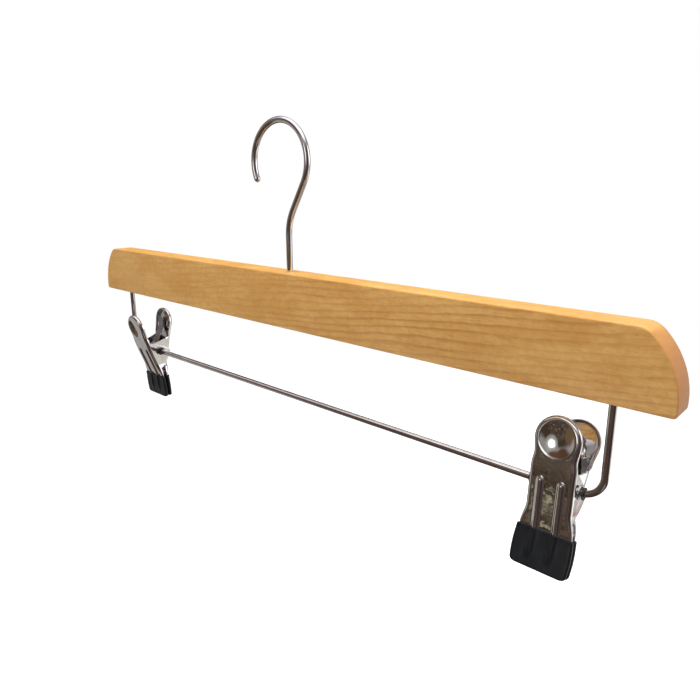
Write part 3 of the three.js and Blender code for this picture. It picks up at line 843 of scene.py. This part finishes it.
def jaw(name, ear, inset, bends, taper, place):
    """A jaw pressed from sheet: its face, its folded sides and the wire's hole through its ears."""
    vertices, rows = jaw_face(inset, bends)
    faces = []
    for low, high in zip(rows, rows[1:]):
        for i in range(1, len(low)):
            faces.append((low[i - 1], low[i], high[i], high[i - 1]))
    edge = [row[-1] for row in rows] + rows[-1][-2:0:-1] + [row[0] for row in reversed(rows)]
    sides = jaw_sides(vertices, edge, ear, bends, taper)
    for inner, outer in zip(sides, sides[1:]):
        for i in range(1, len(edge)):
            faces.append((inner[i - 1], outer[i - 1], outer[i], inner[i]))
    return piece(name, *thickened(*pierced(vertices, faces), SHEET), SHEET_CHROME, "chrome_sheet", place)


def rounded_ring(half_width, front, back, radius, height):
    """A level rectangle with rounded corners, anticlockwise, with many points in front and behind."""
    radius = min(radius, (back - front) / 2 - TIP_SIDE_FLAT)
    points = []
    for cx, cy, start in (
        (half_width - radius, back - radius, 0),
        (radius - half_width, back - radius, 90),
        (radius - half_width, front + radius, 180),
        (half_width - radius, front + radius, 270),
    ):
        for angle in np.radians(np.linspace(start, start + 90, 6)):
            points.append((cx + radius * math.cos(angle), cy + radius * math.sin(angle)))
        if start in (0, 180):
            side = 1 if start == 0 else -1
            run = np.linspace(side, -side, 42)[1:-1] * (half_width - radius)
            points.extend((x, back if start == 0 else front) for x in run)
    return np.array([(x, y, height) for x, y in points])


def ring_pair(name, section, material, slot, place):
    """Two rings round the wire's line, one at each side of a clip, from a section in (radius, distance)."""
    vertices, faces = turned(section, 40, closed=True)
    right = np.array([(z, y, -x) for x, y, z in vertices])
    left = np.array([(-z, y, x) for x, y, z in vertices])
    count = len(vertices)
    both = faces + [tuple(i + count for i in face) for face in faces]
    return piece(name, np.concatenate([right, left]), both, material, slot, place)


def tip_bulge(height):
    """How much wider a rubber tip is than the jaw's own outline, at a height."""
    share = (TIP_TOP - height) / (TIP_TOP - TIP_FOOT)
    return TIP_SIDE_BULGE * math.sin(math.pi * min(1, max(0, share))) + TIP_SPREAD


def tip_ring(bends, height, wall, radius, widen=0.0):
    """A level ring round a jaw's foot, a wall's thickness away from it, that follows the ribs in front."""
    at = max(height, JAW_FOOT)
    front = -jaw_reach(at, bends) - TIP_FIT - wall
    back = min(FOOT_FLANGE_DEPTH - jaw_reach(at, bends) + TIP_FIT + wall, TIP_BACK)
    half = jaw_half_width(at, 0) + TIP_FIT + wall + widen
    points = rounded_ring(half, front, back, radius, height)
    over_ribs = rib_relief(points[:, 0], at) * (points[:, 1] < (front + back) / 2)
    points[:, 1] -= over_ribs * TIP_RIB_SHOW
    return points


def tip_cup(name, bends, place):
    """The rubber tip: a cup round the foot of a jaw, from its foot up the outside and down the inside."""
    rings = []
    for angle in np.radians(np.linspace(80, 0, 9)):
        inward = TIP_CORNER * (1 - math.cos(angle))
        height = TIP_FOOT + TIP_CORNER * (1 - math.sin(angle))
        wall = TIP_WALL - TIP_CORNER_THINNING * (1 - math.cos(angle)) ** 2
        widen = tip_bulge(height) - inward * TIP_CORNER_DEPTH
        rings.append(tip_ring(bends, height, wall, TIP_SIDE_ROUND, widen))
    for height in np.linspace(TIP_FOOT + TIP_CORNER, TIP_TOP - LIP_DROP, 22)[1:]:
        rings.append(tip_ring(bends, height, TIP_WALL, TIP_SIDE_ROUND, tip_bulge(height)))
    for angle in np.radians([30, 60, 90, 120, 150]):
        wall = LIP_MIDDLE + LIP_HALF * math.cos(angle)
        rings.append(tip_ring(bends, TIP_TOP - LIP_DROP + LIP_RISE * math.sin(angle), wall, LIP_ROUND))
    for height in np.linspace(TIP_TOP - CUP_TOP_DROP, JAW_FOOT - CUP_FLOOR_DROP, 16):
        rings.append(tip_ring(bends, height, CUP_WALL, CUP_ROUND))
    return piece(name, *loft(rings), RUBBER, "black_rubber", place)


def spring_path():
    """A spring's middle line in the YZ plane, from leg top to leg top, and its leg's point count."""
    turns = np.radians(np.linspace(*SPRING_BEND_TURN, 29))
    bend = np.stack([SPRING_BEND * np.cos(turns), SPRING_BEND_HEIGHT + SPRING_BEND * np.sin(turns)], 1)
    legs = []
    for corners in (SPRING_FRONT_LEG, SPRING_REAR_LEG):
        leg = []
        for start, end in zip(corners, (*corners[1:], bend[-1])):
            shares = np.linspace(0, 1, 8, endpoint=False)[:, None]
            leg.append(np.array(start) + shares * (np.array(end) - np.array(start)))
        legs.append(np.concatenate(leg))
    path = np.concatenate([legs[0] * (-1, 1), bend, legs[1][::-1]])
    kernel = np.ones(SPRING_SMOOTHING) / SPRING_SMOOTHING
    middle = np.stack([np.convolve(path[:, i], kernel, "valid") for i in (0, 1)], 1)
    return np.concatenate([path[:2], middle, path[-2:]]), len(legs[0])


def leaf_spring(name, place):
    """A strip bent round over the sleeve, with a waisted leg up each handle."""
    path, count = spring_path()
    across = np.linspace(1, -1, 13) * SPRING_WIDTH / 2
    along_leg = np.minimum(np.arange(len(path)), np.arange(len(path))[::-1]) / count
    waist = np.sin(np.pi * np.clip(along_leg, 0, 1)) ** 2
    width = 1 - (1 - SPRING_WAIST) * waist
    for i, share in enumerate(SPRING_END_SHARES):
        width[i] = width[-1 - i] = share
    vertices = np.array([(x * w, y, z) for (y, z), w in zip(path, width) for x in across])
    faces = []
    for r in range(1, len(path)):
        for i in range(1, len(across)):
            a = (r - 1) * len(across) + i - 1
            b = r * len(across) + i - 1
            faces.append((a, a + 1, b + 1, b))
    vertices, faces = thickened(vertices, faces, SPRING_SHEET)
    return piece(name, vertices, faces, STEEL, "spring_steel", place)


def clip(side):
    """One clip on the wire, its rear jaw nested between the ears of its front jaw."""
    pivot = pivots[side + "_clip_swing"]
    upright = Matrix.Translation(pivot) @ Matrix.Rotation(math.radians(CLIP_TILT[side]), 4, "X")
    turned_round = upright @ Matrix.Rotation(math.pi, 4, "Z")
    front, rear, slider = side + "_front", side + "_rear", side + "_slider"
    for body, ear, inset, bends, taper, place in (
        (front, FRONT_EAR, 0, FRONT_BENDS, 0, upright),
        (rear, REAR_EAR, REAR_INSET, REAR_BENDS, EAR_TAPER, turned_round),
    ):
        pressing = jaw(body + "_jaw_pressing", ear, inset, bends, taper, place)
        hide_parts(body + "_jaw")
        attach(pressing, body)
        cup = tip_cup(body + "_tip_cup", bends, place)
        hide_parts(body + "_tip")
        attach(cup, body)
    ear, rim_end = EAR_HALF_WIDTH, EAR_HALF_WIDTH + HOLE_RIM_REACH
    section = rounded(ear - SHEET, rim_end, EAR_HOLE / 2, HOLE_RIM / 2, HOLE_RIM_EDGE)
    rims = ring_pair(front + "_hole_rims", section, SHEET_CHROME, "chrome_sheet", upright)
    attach(rims, front)
    end = SLEEVE_LENGTH / 2
    section = rounded(-end, end, SLEEVE_INNER / 2, SLEEVE_OUTER / 2, SLEEVE_EDGE)
    lying = upright @ Matrix.Rotation(math.pi / 2, 4, "Y")
    sleeve = piece(side + "_tubing", *turned(section, 40, closed=True), TUBING, "black_rubber", lying)
    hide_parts(side + "_grip_sleeve")
    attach(sleeve, slider)
    collar_end = COLLAR_PLACE + COLLAR_WIDTH
    section = rounded(COLLAR_PLACE, collar_end, SLEEVE_INNER / 2, COLLAR / 2, COLLAR_EDGE)
    collars = ring_pair(side + "_collars", section, TUBING, "black_rubber", upright)
    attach(collars, slider)
    spring = leaf_spring(side + "_leaf_spring", upright)
    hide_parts(side + "_spring")
    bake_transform(spring)


wooden_bar()
hook()
lower_wire()
clip("left")
clip("right")


# ---------------------------------------------------------- floor, light, view


def floor():
    """A wide pale floor below the hanger that fades into the background."""
    material = bpy.data.materials.new("floor")
    material.use_nodes = True
    nodes = Nodes(material.node_tree)
    here = nodes.add("TexCoord").outputs["Object"]
    away = nodes.vector("LENGTH", here, (0, 0, 0), 1)
    pale = nodes.add("BsdfDiffuse", {"Color": (0.86, 0.86, 0.86, 1)})
    clear = nodes.add("BsdfTransparent")
    fade = nodes.between(away, *FLOOR_FADE)
    shader = nodes.add("MixShader", {0: fade, 1: pale.outputs[0], 2: clear.outputs[0]})
    output = nodes.add("OutputMaterial")
    nodes.tree.links.new(shader.outputs[0], output.inputs[0])
    bpy.ops.mesh.primitive_circle_add(vertices=96, radius=1.0, fill_type="NGON")
    ground = bpy.context.object
    ground.name = "floor"
    ground.location = (0, 0, cad_low.z - FLOOR_DROP)
    ground.data.materials.append(material)
    ground.visible_glossy = False


def sight(azimuth, elevation):
    """The unit vector at a compass angle from +X, counted anticlockwise, and an angle above the horizon."""
    level = math.cos(math.radians(elevation))
    turn = math.radians(azimuth)
    return Vector((level * math.cos(turn), level * math.sin(turn), math.sin(math.radians(elevation))))


def studio():
    """What the chrome mirrors: a bright ceiling and windows, pale walls and a warm cluttered front.

    Each patch is given by the azimuth and elevation of its middle, the angles from there at which it starts
    and ends to fade, and its colour. A later patch lies over an earlier one. The camera sees plain white.
    """
    world = bpy.data.worlds.new("studio")
    scene.world = world
    world.use_nodes = True
    nodes = Nodes(world.node_tree)
    way = nodes.add("TexCoord").outputs["Generated"]
    clutter = nodes.noise(way, 15.0, 4, 0.65, 1.5)
    colour = nodes.mix(nodes.noise(way, 2.2, 3, 0.6, 0.8), (0.50, 0.48, 0.47, 1), (0.17, 0.15, 0.15, 1))
    brown = nodes.mix(nodes.between(clutter, 0.40, 0.60), (0.018, 0.013, 0.011, 1), (0.150, 0.108, 0.075, 1))
    brown = nodes.mix(nodes.between(clutter, 0.60, 0.68), brown, (0.33, 0.30, 0.28, 1))
    for azimuth, elevation, inner, outer, patch in (
        (0, -90, 20, 42, (0.050, 0.040, 0.042, 1)),           # dark floor
        (-28, 2, 28, 38, (0.085, 0.048, 0.050, 1)),           # dim wall on the right
        (67, -27, 20, 40, (0.55, 0.55, 0.54, 1)),             # pale floor behind
        (10, -30, 22, 36, (0.050, 0.030, 0.026, 1)),          # dark floor on the right
        (56, -26, 10, 11.5, (1.50, 1.48, 1.46, 1)),           # bright panel behind
        (29, -14, 12, 22, (0.72, 0.70, 0.64, 1)),             # pale wall behind on the right
        (71, -35, 5, 8, (0.40, 0.10, 0.11, 1)),               # something red behind
        (145, -15, 25, 45, (0.045, 0.035, 0.035, 1)),         # dark corner behind on the left
        (160, 12, 22, 36, (0.055, 0.033, 0.030, 1)),          # brown wall on the left
        (-106, -30, 36, 48, (0.060, 0.040, 0.030, 1)),        # brown floor in front
        (-165, -24, 14, 24, (0.42, 0.405, 0.395, 1)),         # pale patch on the left
        (-137, -14, 8, 14, (0.150, 0.100, 0.055, 1)),         # tan patch in front on the left
        (-58, -16, 10, 14, (0.120, 0.100, 0.105, 1)),         # grey patch in front on the right
        (-42, -24, 12, 18, (0.050, 0.036, 0.036, 1)),         # dark patch in front on the right
        (-106, -22, 20, 24, brown),                           # brown clutter in front
        (-84, -27, 5, 9, (0.130, 0.030, 0.032, 1)),           # something red in front
        (-112, -20.3, 0.4, 1.3, (0.45, 0.40, 0.28, 1)),       # small lamp in front
        (-110, -62, 14, 26, (0.085, 0.040, 0.022, 1)),        # brown floor below in front
        (-96, 9, 10, 19, (0.42, 0.42, 0.40, 1)),              # glow round the front window
        (-96, 9, 6, 11, (1.90, 1.90, 1.85, 1)),               # front window
        (-135, 22, 12, 20, (0.10, 0.050, 0.030, 1)),          # brown wall beside the front window
        (-118, 42, 16, 26, (0.13, 0.065, 0.034, 1)),          # brown wall above the front window
        (-155, 44, 12, 22, (0.70, 0.67, 0.78, 1)),            # pale ceiling on the left
        (34, 13, 17, 23, (1.90, 1.80, 2.05, 1)),              # rear window
        (-60, 88, 30, 50, (1.50, 1.55, 1.65, 1)),             # ceiling light
    ):
        near = nodes.vector("DOT_PRODUCT", way, sight(azimuth, elevation), 1)
        share = nodes.between(near, math.cos(math.radians(outer)), math.cos(math.radians(inner)))
        colour = nodes.mix(share, colour, patch)
    seen = nodes.add("Background", {"Color": (1.0, 1.0, 1.0, 1), "Strength": 1.0})
    mirrored = nodes.add("Background", {"Color": colour, "Strength": 1.0})
    camera_ray = nodes.add("LightPath").outputs["Is Camera Ray"]
    shader = nodes.add("MixShader", {0: camera_ray, 1: mirrored.outputs[0], 2: seen.outputs[0]})
    output = nodes.add("OutputWorld")
    nodes.tree.links.new(shader.outputs[0], output.inputs[0])


def softbox(name, place, target, size, power):
    """A rectangular area light turned to a target, which the chrome doesn't mirror."""
    lamp = bpy.data.lights.new(name, "AREA")
    lamp.shape = "RECTANGLE"
    lamp.size, lamp.size_y = size
    lamp.energy = power
    thing = bpy.data.objects.new(name, lamp)
    scene.collection.objects.link(thing)
    thing.visible_glossy = False
    thing.location = place
    thing.rotation_euler = (Vector(target) - Vector(place)).to_track_quat("-Z", "Y").to_euler()


def camera():
    """The view from in front and to the right, a little above the bar."""
    data = bpy.data.cameras.new("camera")
    data.sensor_width = 36
    data.lens = CAMERA_LENS
    data.shift_x, data.shift_y = CAMERA_SHIFT
    data.clip_start = 0.01
    thing = bpy.data.objects.new("camera", data)
    scene.collection.objects.link(thing)
    turn = Matrix.Rotation(math.radians(CAMERA_AZIMUTH), 4, "Z")
    pitch = Matrix.Rotation(math.radians(90 + CAMERA_PITCH), 4, "X")
    roll = Matrix.Rotation(math.radians(CAMERA_ROLL), 4, "Z")
    thing.matrix_world = Matrix.Translation(Vector(CAMERA_PLACE) * MM) @ turn @ pitch @ roll
    scene.camera = thing


floor()
studio()
softbox("ceiling_light", (0.05, -0.02, 0.75), (0, 0, -0.08), (1.1, 0.7), 16.0)
softbox("left_light", (-0.7, -0.8, 0.25), (-0.15, 0, -0.1), (0.5, 0.5), 1.8)
softbox("side_light", (0.75, -0.35, 0.15), (0, 0, -0.1), (0.4, 0.7), 1.0)
camera()
scene.view_settings.view_transform = "Standard"
